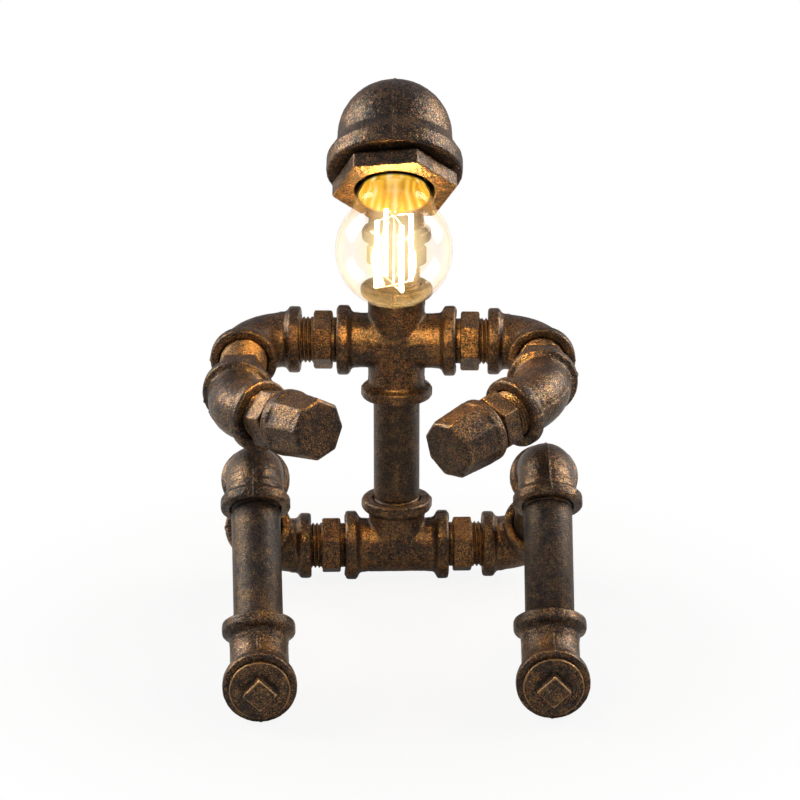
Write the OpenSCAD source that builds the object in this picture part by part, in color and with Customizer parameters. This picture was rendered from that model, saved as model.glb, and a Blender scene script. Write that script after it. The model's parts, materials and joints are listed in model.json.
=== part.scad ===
// Seated robot desk lamp, screwed together from malleable-iron pipe fittings.
// Half-inch (DN15) fittings make the body, and a DN32 reducing elbow makes the head.
// The robot faces -Y, its left hand is on +X and +Z is up. The origin is the centre
// of the footprint, on the surface that the pelvis and the feet stand on.
// Every piece is drawn round the spine, and at_spine() moves it into the final frame.

/* [Pipe and threads] */
// Outside diameter of half-inch pipe and of its male thread
pipe_od = 21.3; // [20.6:0.1:22]
// Bore of half-inch pipe
pipe_bore = 16.1; // [13:0.1:17]
// Length of a male thread inside its fitting
thread_engaged = 11; // [8:0.5:12]
// Radial clearance between a male and a female thread
thread_clearance = 0.05; // [0.02:0.01:0.09]
// Thread left free at the bottom of a socket
socket_relief = 1.5; // [0.5:0.1:2]
// Exposed length of the spine pipe
spine_exposed = 49.5; // [35:0.5:80]
// Exposed length of the shin pipes
shin_exposed = 52.7; // [35:0.1:80]

/* [Fittings] */
// Centre to face of a 90 degree elbow
elbow_reach = 24.3; // [24:0.1:30]
// Centre to face of a 45 degree elbow
half_elbow_reach = 20.5; // [20:0.5:27]
// Centre to face of the pelvis tee
tee_reach = 24; // [22:0.5:30]
// Centre to face of the chest cross
cross_reach = 27; // [24:0.5:32]
// Centreline radius of a 90 degree elbow
elbow_bend = 20; // [17:0.5:21]
// Centreline radius of a 45 degree elbow
half_elbow_bend = 26; // [22:0.5:30]
// Body diameter of a fitting between its sockets
body_od = 25; // [24:0.1:28]
// Body diameter round a socket
socket_od = 25.4; // [25:0.1:29]
// Bore of the passage between the sockets
passage_d = 17; // [15:0.1:18]
// Diameter of the end band on a 90 degree elbow
elbow_band_od = 30.4; // [29:0.1:33]
// Diameter of the end band on a 45 degree elbow
half_elbow_band_od = 31.4; // [29:0.1:33]
// Diameter of the end band on the tee and the cross
tee_band_od = 32; // [30:0.1:34]
// Width of an end band
band_w = 5.6; // [4:0.1:8]
// Radius of the rounded edges of an end band
band_edge = 1.1; // [0.4:0.1:2]
// Length of the flare from a socket wall up to its band
band_flare = 1.1; // [0.5:0.1:3]
// Depth of the chamfer at the mouth of a threaded socket
mouth_chamfer = 0.8; // [0.3:0.1:1.2]

/* [Hexagon nipples] */
// Size across the flats of a hexagon nipple
hex_af = 23.7; // [22.5:0.1:27]
// Width of the hexagon
hex_w = 8.6; // [6:0.1:11]
// Bore of a hexagon nipple
hex_bore = 15; // [12:0.1:16]
// Exposed length of a hip nipple
hip_exposed = 15.9; // [12:0.1:22]
// Exposed length of the left shoulder nipple
left_shoulder_exposed = 14.6; // [12:0.1:22]
// Exposed length of the right shoulder nipple
right_shoulder_exposed = 16.8; // [12:0.1:22]
// Exposed length of the left upper arm nipple
left_arm_exposed = 21; // [12:0.1:34]
// Exposed length of the right upper arm nipple
right_arm_exposed = 28.2; // [12:0.1:34]
// Turn of the left shoulder hexagon about its axis, in degrees
left_hex_turn = -14; // [-30:1:30]
// Turn of the right shoulder hexagon about its axis, in degrees
right_hex_turn = -8; // [-30:1:30]
// Plain stub between a tee or cross and the hexagon
hex_stub = 2.2; // [1:0.1:4]
// Exposed length of the neck nipple
neck_exposed = 21; // [14:0.1:26]
// Exposed thread below the hexagon of the neck nipple
neck_thread = 9.6; // [3:0.1:16]
// Exposed length of the left wrist nipple
left_wrist_exposed = 15.8; // [10.5:0.1:22]
// Exposed length of the right wrist nipple
right_wrist_exposed = 14.1; // [10:0.1:22]

/* [Hands and feet] */
// Size across the flats of a hand cap at its mouth
cap_af = 27; // [25.5:0.1:30]
// Size across the flats of a hand cap at its end face
cap_end_af = 24.8; // [23:0.1:28]
// Length of a hand cap
cap_length = 23.5; // [20:0.5:32]
// Diameter of the round bead at the mouth of a hand cap
cap_bead_od = 28.6; // [28:0.1:31]
// Width of that bead
cap_bead_w = 5.2; // [3:0.1:7]
// Diameter of the flange of a foot plug
plug_flange_od = 25.8; // [24:0.1:28]
// Thickness of the flange of a foot plug
plug_flange_t = 2.2; // [1.5:0.1:4]
// Gap between a foot plug's flange and the face of its elbow
plug_gap = 0.3; // [0.1:0.1:1]
// Size across the flats of a plug's square head at its root
plug_head_af = 11.2; // [8:0.1:13]
// Size across the flats of a plug's square head at its tip
plug_tip_af = 10.3; // [7:0.1:13]
// Height of a plug's square head
plug_head_h = 5.5; // [5:0.1:12]

/* [Head] */
// Diameter of the dome of the head elbow
dome_d = 49; // [46:0.5:54]
// Centre to face of the head elbow at its large end
mouth_reach = 29.6; // [28:0.1:38]
// Centre to face of the head elbow at its small end
crown_reach = 39; // [36:0.5:46]
// Distance of the dome's centre in front of the small socket's axis
crown_offset = 10.9; // [9:0.1:13]
// Wall of the dome
dome_wall = 4; // [3:0.1:5]
// Diameter of the wall round the large socket
mouth_wall_od = 49.6; // [49:0.1:56]
// Length of that wall and its band together
mouth_zone = 18.5; // [14:0.1:20]
// Diameter of the end band at the large end
mouth_band_od = 58; // [55:0.1:62]
// Width of that band
mouth_band_w = 8; // [6:0.1:10]
// Length of the flare from the wall up to that band
mouth_flare = 6.2; // [1:0.1:8]
// Outside diameter of the bushing's male thread
bushing_od = 41.9; // [41:0.1:43]
// Length of the bushing's thread inside the elbow
bushing_engaged = 12.5; // [9:0.5:13]
// Size across the flats of the bushing
bushing_af = 46.6; // [44:0.1:50]
// Thickness of the bushing's hexagon
bushing_hex_w = 7; // [4:0.1:9]
// Plain neck between the hexagon and the elbow's face
bushing_neck = 1.6; // [0.5:0.1:5]
// Bore of the bushing
bushing_bore = 33.6; // [32:0.1:36]
// Rotation of the hexagon about its axis, in degrees
bushing_turn = 9; // [-30:1:30]
// Exposed length of the close nipple between neck and head
close_exposed = 10.5; // [3:0.5:14]

/* [Lamp holder] */
// Radial clearance of the holder in the bushing
holder_clearance = 0.1; // [0.05:0.01:0.3]
// Depth of the holder's rim behind the bushing's face
holder_recess = 9.4; // [2:0.1:10]
// Length of the holder
holder_length = 24; // [22:0.5:28]
// Thickness of the holder's base
holder_base = 3.5; // [2:0.1:5]
// Outside diameter of the lamp cap's screw shell
cap_screw_od = 26; // [25:0.1:26.4]
// Radial clearance of the lamp cap in the holder's screw shell
screw_clearance = 0.3; // [0.2:0.05:0.5]
// Thickness of the holder's screw shell
shell_wall = 0.4; // [0.3:0.05:0.8]
// Diameter of the sheathed lead inside the pipes
lead_d = 5; // [3:0.1:6]
// Centreline radius of the lead's tightest bends
lead_bend = 6; // [5:0.5:7]

/* [Bulb] */
// Diameter of the globe
globe_d = 49.2; // [42:0.1:50]
// Distance of the globe's centre from the bushing's face
globe_out = 27.8; // [26:0.1:32]
// Depth of the lamp cap's rim behind the bushing's face
cap_rim_depth = 6.5; // [0:0.1:7]
// Diameter of the glass where it passes the bushing's face
glass_face_d = 30.4; // [26:0.1:32]
// Thickness of the glass
glass_t = 0.9; // [0.5:0.1:1.5]
// Diameter of the glass neck where it leaves the cap
glass_neck_d = 25; // [22:0.1:25.2]
// Length of an LED filament
filament_length = 31; // [20:0.5:32]
// Diameter of an LED filament
filament_d = 1.8; // [1:0.1:3]
// Distance of the filaments from the bulb's axis
filament_offset = 7.9; // [4:0.1:9]
// Turn of the filaments about the bulb's axis, in degrees
filament_turn = 24; // [0:1:90]
// Diameter of the wires that carry the filaments
wire_d = 0.6; // [0.4:0.1:1]

/* [Cord entry] */
// Bore of the cord bush in the back of the pelvis
bush_bore = 6.2; // [4:0.1:7]
// Diameter of the bush's sleeve
bush_od = 9.4; // [8:0.1:11]
// Diameter of the bush's flange
bush_flange_od = 13; // [11:0.1:15]
// Thickness of the bush's flange
bush_flange_t = 1.6; // [1:0.1:2.5]
// Depth of the flat that the flange sits on
bush_flat_depth = 1.2; // [0.8:0.1:2]

/* [Pose] */
// Turn of the chest about the spine, in degrees
chest_turn = -3.4; // [-10:0.1:10]
// Turn of the neck elbow on the chest, in degrees
neck_turn = 1.2; // [-30:0.1:30]
// How far the left upper arm points below the horizontal, in degrees
left_arm_drop = 2.8; // [0:0.1:12]
// How far the right upper arm points below the horizontal, in degrees
right_arm_drop = 6.8; // [0:0.1:12]
// Rise of the left forearm out of the plane of its arm, in degrees
left_hand_rise = -12; // [-15:0.5:60]
// Rise of the right forearm, in degrees
right_hand_rise = 15.5; // [-15:0.5:60]
// How far the shins turn inwards about the thighs, in degrees
toe_in = 1.4; // [0:0.1:5]

/* [Hidden] */
$fn = 64;
eps = 0.02;
half_turn = 45;
thigh_rise = half_turn;
socket_depth = thread_engaged + socket_relief;
socket_bore = pipe_od + 2 * thread_clearance;
socket_taper = 4;
socket_zone = socket_depth + 1;
taper_drop = 2.2;
hex_chamfer = 1;
arc_steps = 5;

pelvis_z = tee_band_od / 2;
foot_z = half_elbow_band_od / 2;
chest_z = pelvis_z + tee_reach + spine_exposed + cross_reach;
neck_z = chest_z + cross_reach + neck_exposed + half_elbow_reach;
hip_x = tee_reach + hip_exposed + elbow_reach;
shin_span = elbow_reach + shin_exposed + half_elbow_reach;
// The thighs get the length that sets the pelvis and the feet down on one surface.
thigh_span = (shin_span * cos(toe_in) * cos(thigh_rise) + foot_z - pelvis_z) / sin(thigh_rise);
thigh_exposed = thigh_span - 2 * elbow_reach;
crown_out = half_elbow_reach + close_exposed + crown_reach;
neck_pivot = half_elbow_reach;
head_pivot = half_elbow_reach + close_exposed / 2;

foot_front = thigh_span * cos(thigh_rise) + shin_span * sin(thigh_rise) + half_elbow_reach
    + plug_gap + plug_flange_t + plug_head_h;

// The arms differ, so their measures come from functions of the side.
left = 1;
right = -1;
function shoulder_exposed(side) = side == left ? left_shoulder_exposed : right_shoulder_exposed;
function arm_exposed(side) = side == left ? left_arm_exposed : right_arm_exposed;
function arm_drop(side) = side == left ? left_arm_drop : right_arm_drop;
function shoulder_x(side) = cross_reach + shoulder_exposed(side) + elbow_reach;
function arm_span(side) = elbow_reach + arm_exposed(side) + half_elbow_reach;

// The turned chest decides how far the object reaches to its sides and back.
function arm_bands(side) = [
    [elbow_band_od / 2, elbow_reach - band_w],
    [half_elbow_band_od / 2, elbow_reach + arm_exposed(side) + band_w - band_edge]
];
function side_reach(side) =
    max([for (band = arm_bands(side)) (shoulder_x(side) + band[0]) * cos(chest_turn)
        + side * band[1] * cos(arm_drop(side)) * sin(chest_turn)]);
rear_side = chest_turn < 0 ? right : left;
rear_reach = max(tee_band_od / 2, elbow_band_od / 2 * cos(chest_turn)
    + (shoulder_x(rear_side) - elbow_reach + band_w) * sin(abs(chest_turn)));
spine_x = (side_reach(right) - side_reach(left)) / 2;
spine_y = (foot_front - rear_reach) / 2;

dome_r = dome_d / 2;
mouth_socket_d = bushing_od + 2 * thread_clearance;
mouth_socket_depth = bushing_engaged + socket_relief;
bushing_out = bushing_neck + bushing_hex_w;
face_out = mouth_reach + bushing_out;
holder_od = bushing_bore - 2 * holder_clearance;
shell_id = cap_screw_od + 2 * screw_clearance;
shell_od = shell_id + 2 * shell_wall;
shell_length = holder_length - holder_base - 2;
bush_seat = body_od / 2 - bush_flat_depth;
bush_inner = sqrt(pow(passage_d / 2, 2) - pow(bush_od / 2, 2));
lead_start = bush_inner - 0.3;
lead_lap = 0.3;
contact_gap = 0.3;
cap_wall = 0.4;
cap_rim_out = -cap_rim_depth;
cap_height = 22;
cap_screw_h = 18;
cap_contact_d = 9;
contact_d = 8;
contact_t = 1;
stem_z = cap_rim_out - 6;
stem_h = 22.5;
glass_join = 46;
glass_depth = 7;
filament_mid = globe_out + 0.3;
link_d = 2 * wire_d;
post_w = 0.8;
cap_octagon = 22.5;
cap_edge = 1.2;
cap_edge_slope = 2;

iron = [0.24, 0.18, 0.13];
iron_worn = [0.36, 0.25, 0.16];
brass = [0.80, 0.65, 0.35];
phenolic = [0.10, 0.10, 0.10];
clear_glass = [0.90, 0.93, 0.95, 0.35];
glow = [1.00, 0.85, 0.45];
rubber = [0.06, 0.06, 0.06];

// ---- Shapes that the fittings share ----

// Points of a round edge, from angle a0 to a1 round centre c
function round_edge(c, r, a0, a1) =
    [for (i = [0:arc_steps]) let (a = a0 + (a1 - a0) * i / arc_steps) c + r * [cos(a), sin(a)]];

// One socket along +Z: a tapered root, the wall round the thread and the end band
module socket_wall(reach, wall_od, band_od, width, flare, zone, root_od) {
    wall_r = wall_od / 2;
    rim = band_od / 2 - band_edge;
    rotate_extrude()
        polygon(concat(
            [[0, reach - zone], [root_od / 2, reach - zone]],
            [[wall_r, reach - zone + socket_taper], [wall_r, reach - width - flare]],
            round_edge([rim, reach - width + band_edge], band_edge, -40, 0),
            round_edge([rim, reach - band_edge], band_edge, 0, 90),
            [[0, reach]]));
}

module small_socket_wall(reach, band_od) {
    socket_wall(reach, socket_od, band_od, band_w, band_flare, socket_zone,
        socket_od - 2 * taper_drop);
}

// The threaded bore of a socket along +Z, with its chamfered mouth
module socket_cut(reach, bore = socket_bore, depth = socket_depth) {
    translate([0, 0, reach - depth])
        cylinder(h = depth + eps, d = bore);
    translate([0, 0, reach - mouth_chamfer])
        cylinder(h = mouth_chamfer + eps, d1 = bore, d2 = bore + 2 * mouth_chamfer);
}

// A round bend that comes up from -Z and turns towards -Y about the origin
module bend(turn, radius, d) {
    translate([0, -radius, -radius * tan(turn / 2)])
        rotate([90, 0, 90])
            rotate_extrude(angle = turn)
                translate([radius, 0])
                    circle(d = d);
}

// An elbow with its inlet on -Z and its outlet turned from +Z towards -Y
module elbow(turn, radius, reach, band_od) {
    color(iron)
        difference() {
            union() {
                bend(turn, radius, body_od);
                rotate([180, 0, 0])
                    small_socket_wall(reach, band_od);
                rotate([turn, 0, 0])
                    small_socket_wall(reach, band_od);
            }
            bend(turn, radius, passage_d);
            rotate([180, 0, 0])
                socket_cut(reach);
            rotate([turn, 0, 0])
                socket_cut(reach);
        }
}

module right_angle_elbow() {
    elbow(90, elbow_bend, elbow_reach, elbow_band_od);
}

module half_elbow() {
    elbow(half_turn, half_elbow_bend, half_elbow_reach, half_elbow_band_od);
}

// A straight run of body along +Z with a socket at its end
module branch(reach) {
    cylinder(h = reach - band_w, d = body_od);
    small_socket_wall(reach, tee_band_od);
}

module branch_cut(reach) {
    cylinder(h = reach, d = passage_d);
    socket_cut(reach);
}

// A hexagon along +Z with chamfered corners
module hexagon(af, h, chamfer) {
    corner = af / 2 / cos(30);
    intersection() {
        cylinder(h = h, r = corner, $fn = 6);
        rotate_extrude()
            polygon([[0, 0], [corner - chamfer, 0], [corner, chamfer / 2],
                [corner, h - chamfer / 2], [corner - chamfer, h], [0, h]]);
    }
}

// A threaded tube along +Z whose exposed length starts at z = 0
module threaded_pipe(exposed, bore) {
    difference() {
        translate([0, 0, -thread_engaged])
            cylinder(h = exposed + 2 * thread_engaged, d = pipe_od);
        translate([0, 0, -thread_engaged - eps])
            cylinder(h = exposed + 2 * thread_engaged + 2 * eps, d = bore);
    }
}

// A hexagon nipple along +Z: lead_in is the length from the first face to the hexagon,
// and turn is the hexagon's turn about the axis
module hex_nipple(exposed, lead_in, turn = 0) {
    color(iron_worn)
        difference() {
            union() {
                translate([0, 0, -thread_engaged])
                    cylinder(h = exposed + 2 * thread_engaged, d = pipe_od);
                translate([0, 0, lead_in])
                    rotate([0, 0, turn])
                        hexagon(hex_af, hex_w, hex_chamfer);
            }
            translate([0, 0, -thread_engaged - eps])
                cylinder(h = exposed + 2 * thread_engaged + 2 * eps, d = hex_bore);
        }
}

module straight_pipe(exposed) {
    color(iron)
        threaded_pipe(exposed, pipe_bore);
}

// A rod of diameter d from point a to point b
module rod(a, b, d) {
    span = b - a;
    length = norm(span);
    translate(a)
        rotate([0, acos(span[2] / length), atan2(span[1], span[0])])
            cylinder(h = length, d = d, $fn = 16);
}

// ---- Frames ----

module at_spine() {
    translate([spine_x, spine_y, 0])
        children();
}

// Above the spine pipe, where everything turns with the chest
module at_chest() {
    at_spine()
        rotate([0, 0, chest_turn])
            children();
}

module on_side(side) {
    mirror([side == left ? 0 : 1, 0, 0])
        children();
}

// Along the thigh from the hip, with +Z towards the knee
module thigh_frame(side) {
    at_spine()
        on_side(side)
            translate([hip_x, 0, pelvis_z])
                rotate([90 - thigh_rise, 0, 0])
                    children();
}

// Along the shin from the knee, with +Z towards the foot
module shin_frame(side) {
    thigh_frame(side)
        translate([0, 0, thigh_span])
            rotate([90, 0, -toe_in])
                children();
}

// Along the foot from its elbow, with +Z towards the toe
module foot_frame(side) {
    shin_frame(side)
        translate([0, 0, shin_span])
            rotate([-half_turn, 0, 0])
                children();
}

// Along the upper arm from the shoulder, with +Z towards the forearm
module arm_frame(side) {
    at_chest()
        on_side(side)
            translate([shoulder_x(side), 0, chest_z])
                rotate([90 + arm_drop(side), 0, 0])
                    children();
}

// At the forearm elbow, with +Z along the upper arm and -Y on the side of the hand
module forearm_frame(side) {
    rise = side == left ? left_hand_rise : right_hand_rise;
    arm_frame(side)
        translate([0, 0, arm_span(side)])
            rotate([0, 0, -90 - rise])
                children();
}

// Along the forearm from its elbow, with +Z towards the hand
module hand_frame(side) {
    forearm_frame(side)
        rotate([half_turn, 0, 0])
            children();
}

// At the neck elbow, with +Z up
module neck_frame() {
    at_chest()
        translate([0, 0, neck_z])
            rotate([0, 0, neck_turn])
                children();
}

// Along the close nipple from the neck elbow, with +Z towards the crown
module crown_frame() {
    neck_frame()
        rotate([half_turn, 0, 0])
            children();
}

// At the head elbow, with +Z along the close nipple and -Y towards the mouth
module head_frame() {
    crown_frame()
        translate([0, 0, crown_out])
            children();
}

// On the bushing's face, with +Z out of the mouth along the bulb's axis
module face_frame() {
    head_frame()
        rotate([90, 0, 0])
            translate([0, 0, face_out])
                children();
}

// ---- Torso ----

// The pelvis: a tee with a flat and a hole at its back for the cord bush
module pelvis_tee() {
    color(iron)
        at_spine()
            translate([0, 0, pelvis_z])
                difference() {
                    union() {
                        branch(tee_reach);
                        for (side = [left, right])
                            rotate([0, 90 * side, 0])
                                branch(tee_reach);
                    }
                    branch_cut(tee_reach);
                    for (side = [left, right])
                        rotate([0, 90 * side, 0])
                            branch_cut(tee_reach);
                    rotate([-90, 0, 0])
                        cylinder(h = body_od, d = bush_od + 2 * thread_clearance);
                    translate([0, bush_seat, 0])
                        rotate([-90, 0, 0])
                            cylinder(h = body_od, d = bush_flange_od + 1);
                }
}

module cord_bush() {
    color(rubber)
        at_spine()
            translate([0, 0, pelvis_z])
                rotate([-90, 0, 0])
                    difference() {
                        union() {
                            translate([0, 0, bush_inner])
                                cylinder(h = bush_seat - bush_inner + eps, d = bush_od);
                            translate([0, 0, bush_seat])
                                cylinder(h = bush_flange_t, d = bush_flange_od);
                        }
                        cylinder(h = body_od, d = bush_bore);
                    }
}

module spine_pipe() {
    at_spine()
        translate([0, 0, pelvis_z + tee_reach])
            straight_pipe(spine_exposed);
}

// The chest: a cross with a thickened centre
module chest_cross() {
    color(iron)
        at_chest()
            translate([0, 0, chest_z])
                difference() {
                    union() {
                        for (turn = [0:90:270])
                            rotate([0, turn, 0])
                                branch(cross_reach);
                        sphere(d = socket_od + 1);
                    }
                    for (turn = [0:90:270])
                        rotate([0, turn, 0])
                            branch_cut(cross_reach);
                }
}

// ---- Neck and head ----

module neck_nipple() {
    at_chest()
        translate([0, 0, chest_z + cross_reach])
            hex_nipple(neck_exposed, neck_thread);
}

module neck_elbow() {
    neck_frame()
        half_elbow();
}

module head_nipple() {
    color(iron_worn)
        crown_frame()
            translate([0, 0, half_elbow_reach])
                threaded_pipe(close_exposed, hex_bore);
}

// The head: a reducing elbow whose crown is level with the wall of its small end
module head_elbow() {
    color(iron)
        head_frame()
            difference() {
                union() {
                    translate([0, -crown_offset, 0])
                        sphere(d = dome_d);
                    rotate([90, 0, 0]) {
                        translate([0, 0, crown_offset])
                            cylinder(h = mouth_reach - crown_offset - mouth_band_w, d = dome_d);
                        socket_wall(mouth_reach, mouth_wall_od, mouth_band_od, mouth_band_w,
                            mouth_flare, mouth_zone, dome_d);
                    }
                    rotate([180, 0, 0])
                        small_socket_wall(crown_reach, elbow_band_od);
                    hull() {
                        translate([0, -crown_offset, 0])
                            sphere(d = dome_d - 0.1, $fn = 48);
                        translate([0, 0, -crown_reach + socket_zone])
                            cylinder(h = 1, d = socket_od - 2 * taper_drop, $fn = 48);
                    }
                }
                translate([0, -crown_offset, 0])
                    sphere(d = dome_d - 2 * dome_wall);
                rotate([90, 0, 0]) {
                    socket_cut(mouth_reach, mouth_socket_d, mouth_socket_depth);
                    translate([0, 0, mouth_reach])
                        cylinder(h = dome_r, d = dome_d);
                }
                rotate([180, 0, 0])
                    branch_cut(crown_reach);
            }
}

// The hexagon bushing that carries the lamp holder
module head_bushing() {
    color(iron_worn)
        face_frame()
            difference() {
                union() {
                    translate([0, 0, -bushing_hex_w])
                        rotate([0, 0, bushing_turn])
                            hexagon(bushing_af, bushing_hex_w, hex_chamfer);
                    translate([0, 0, -bushing_out - bushing_engaged])
                        cylinder(h = bushing_out + bushing_engaged - eps, d = bushing_od);
                }
                translate([0, 0, -bushing_out - bushing_engaged - eps])
                    cylinder(h = bushing_out + bushing_engaged + 2 * eps, d = bushing_bore);
                translate([0, 0, -mouth_chamfer])
                    cylinder(h = mouth_chamfer + eps, d1 = bushing_bore,
                        d2 = bushing_bore + 2 * mouth_chamfer);
            }
}

// ---- Lamp holder, from the bushing's face inwards ----

module lamp_holder() {
    color(phenolic)
        face_frame()
            translate([0, 0, -holder_recess - holder_length])
                difference() {
                    cylinder(h = holder_length, d = holder_od);
                    translate([0, 0, holder_base])
                        cylinder(h = holder_length, d = shell_od + 2 * thread_clearance);
                    translate([0, 0, -eps])
                        cylinder(h = holder_base + 2 * eps, d = lead_d + 2 * thread_clearance);
                }
}

module holder_shell() {
    color(brass)
        face_frame()
            translate([0, 0, -holder_recess - holder_length + holder_base])
                difference() {
                    cylinder(h = shell_length, d = shell_od);
                    translate([0, 0, shell_wall])
                        cylinder(h = shell_length, d = shell_id);
                    translate([0, 0, -eps])
                        cylinder(h = shell_length, d = contact_d + 4);
                }
}

// The centre contact, on a post that stands on the holder's base
module holder_contact() {
    tip = cap_rim_out - cap_height - contact_gap;
    base = -holder_recess - holder_length + holder_base;
    color(brass)
        face_frame() {
            translate([0, 0, tip - contact_t])
                cylinder(h = contact_t, d = contact_d);
            translate([contact_d / 2 - post_w, -post_w / 2, base])
                cube([post_w, post_w, tip - base - contact_t / 2]);
        }
}

// ---- Bulb, in the frame of the bushing's face ----

// Screw cap: the brass shell round the glass neck and the taper to the contact
module bulb_cap() {
    taper_h = cap_height - cap_screw_h - 1;
    color(brass)
        face_frame()
            translate([0, 0, cap_rim_out - cap_screw_h])
                difference() {
                    union() {
                        cylinder(h = cap_screw_h, d = cap_screw_od);
                        translate([0, 0, -taper_h])
                            cylinder(h = taper_h + eps, d1 = cap_contact_d + 2, d2 = cap_screw_od - 2);
                    }
                    translate([0, 0, 2])
                        cylinder(h = cap_screw_h, d = cap_screw_od - 2 * cap_wall);
                    translate([0, 0, -taper_h - eps])
                        cylinder(h = cap_screw_h, d = cap_contact_d + 0.1);
                }
}

module bulb_contact() {
    color(brass)
        face_frame()
            translate([0, 0, cap_rim_out - cap_height])
                cylinder(h = cap_height - cap_screw_h + 1, d = cap_contact_d);
}

// Half section of the glass, drawn in by t: neck, flare and globe. The flare is a curve
// from the cap's rim to the globe that passes the bushing's face at glass_face_d.
function glass_outline(t) =
    let (
        r = globe_d / 2 - t,
        neck_r = glass_neck_d / 2 - t,
        join = glass_join,
        meet = [r * sin(join), globe_out - r * cos(join)],
        start = [neck_r, cap_rim_out + 1],
        face_u = -start[1] / (meet[1] - start[1]),
        bow = ((glass_face_d / 2 - t) - (1 - face_u) * start[0] - face_u * meet[0])
            / (2 * face_u * (1 - face_u)),
        middle = [(start[0] + meet[0]) / 2 + bow, (start[1] + meet[1]) / 2],
        steps = 8,
        flare = [for (i = [0:steps]) let (u = i / steps)
            (1 - u) * (1 - u) * start + 2 * u * (1 - u) * middle + u * u * meet],
        globe_steps = 22,
        globe = [for (i = [1:globe_steps]) let (a = join + (180 - join) * i / globe_steps)
            [i == globe_steps ? 0 : r * sin(a), globe_out - r * cos(a)]]
    )
    concat([[neck_r, cap_rim_out - glass_depth]], flare, globe);

module bulb_glass() {
    outer = glass_outline(0);
    inner = glass_outline(glass_t);
    color(clear_glass)
        face_frame()
            rotate_extrude()
                polygon(concat(outer, [for (i = [len(inner) - 1:-1:0]) inner[i]]));
}

// The stem that seals the wires: a flare at the neck and a slim tube up the middle
module bulb_stem() {
    flare_r = glass_neck_d / 2 - glass_t - 0.1;
    color(clear_glass)
        face_frame()
            translate([0, 0, stem_z])
                rotate_extrude()
                    polygon([[0, 0], [flare_r, 0], [flare_r, 1], [flare_r / 2, 4], [flare_r / 3, 9],
                        [flare_r / 4, stem_h - 3.5], [1.6, stem_h - 0.5], [0, stem_h]]);
}

// A point of filament i, with z along its length from its middle
function filament_point(i, z) =
    let (a = filament_turn + 90 * i)
    [filament_offset * cos(a), filament_offset * sin(a), filament_mid + z];

module filament(i) {
    color(glow)
        face_frame()
            rod(filament_point(i, -filament_length / 2), filament_point(i, filament_length / 2),
                filament_d);
}

// The wires from the stem to the near ends, and the middle wire and link to the far ends
module bulb_wires() {
    root = [0, 0, stem_z + stem_h + link_d];
    link = [0, 0, filament_mid + filament_length / 2 + 1];
    color(brass)
        face_frame() {
            for (i = [1:4]) {
                rod(root, filament_point(i, -filament_length / 2 - wire_d), wire_d);
                rod(link, filament_point(i, filament_length / 2 + wire_d), wire_d);
            }
            rod(root, link, wire_d);
            for (end = [root, link])
                translate(end)
                    sphere(d = link_d, $fn = 24);
        }
}

// ---- Lead inside the pipes, in one piece for each body that turns ----

// A straight run, a hair thinner than the bends that it overlaps at its ends
module lead_run(h) {
    cylinder(h = h, d = lead_d - 2 * eps);
}

module lead_torso() {
    color(rubber)
        at_spine() {
            translate([0, lead_bend - lead_lap, pelvis_z])
                rotate([-90, 0, 0])
                    lead_run(lead_start - lead_bend + lead_lap);
            translate([0, 0, pelvis_z])
                rotate([180, 0, 0])
                    bend(90, lead_bend, lead_d);
            translate([0, 0, pelvis_z + lead_bend - lead_lap])
                lead_run(neck_z - neck_pivot - pelvis_z - lead_bend + lead_lap);
        }
}

module lead_neck() {
    run = half_elbow_bend * tan(half_turn / 2);
    color(rubber)
        neck_frame() {
            translate([0, 0, -neck_pivot])
                lead_run(neck_pivot - run + lead_lap);
            bend(half_turn, half_elbow_bend, lead_d);
            rotate([half_turn, 0, 0])
                translate([0, 0, run - lead_lap])
                    lead_run(head_pivot - run + lead_lap);
        }
}

module lead_head() {
    into_holder = face_out - holder_recess - holder_length + holder_base / 2;
    color(rubber)
        head_frame() {
            translate([0, 0, head_pivot - crown_out])
                lead_run(crown_out - head_pivot - lead_bend + lead_lap);
            bend(90, lead_bend, lead_d);
            rotate([90, 0, 0])
                translate([0, 0, lead_bend - lead_lap])
                    lead_run(into_holder - lead_bend + lead_lap);
        }
}

// ---- Arms ----

module shoulder_nipple(side) {
    at_chest()
        on_side(side)
            translate([cross_reach, 0, chest_z])
                rotate([0, 90, 0])
                    hex_nipple(shoulder_exposed(side), hex_stub,
                        side == left ? left_hex_turn : right_hex_turn);
}

module shoulder_elbow(side) {
    at_chest()
        on_side(side)
            translate([shoulder_x(side), 0, chest_z])
                rotate([arm_drop(side), 0, 0])
                    rotate([0, 90, 0])
                        right_angle_elbow();
}

module arm_nipple(side) {
    arm_frame(side)
        translate([0, 0, elbow_reach])
            hex_nipple(arm_exposed(side), arm_exposed(side) - hex_stub - hex_w);
}

module forearm_elbow(side) {
    forearm_frame(side)
        half_elbow();
}

function wrist_exposed(side) = side == left ? left_wrist_exposed : right_wrist_exposed;
function wrist_stub(side) = min(hex_stub, (wrist_exposed(side) - hex_w) / 2);

module wrist_nipple(side) {
    exposed = wrist_exposed(side);
    hand_frame(side)
        translate([0, 0, half_elbow_reach])
            hex_nipple(exposed, exposed - wrist_stub(side) - hex_w);
}

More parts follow.
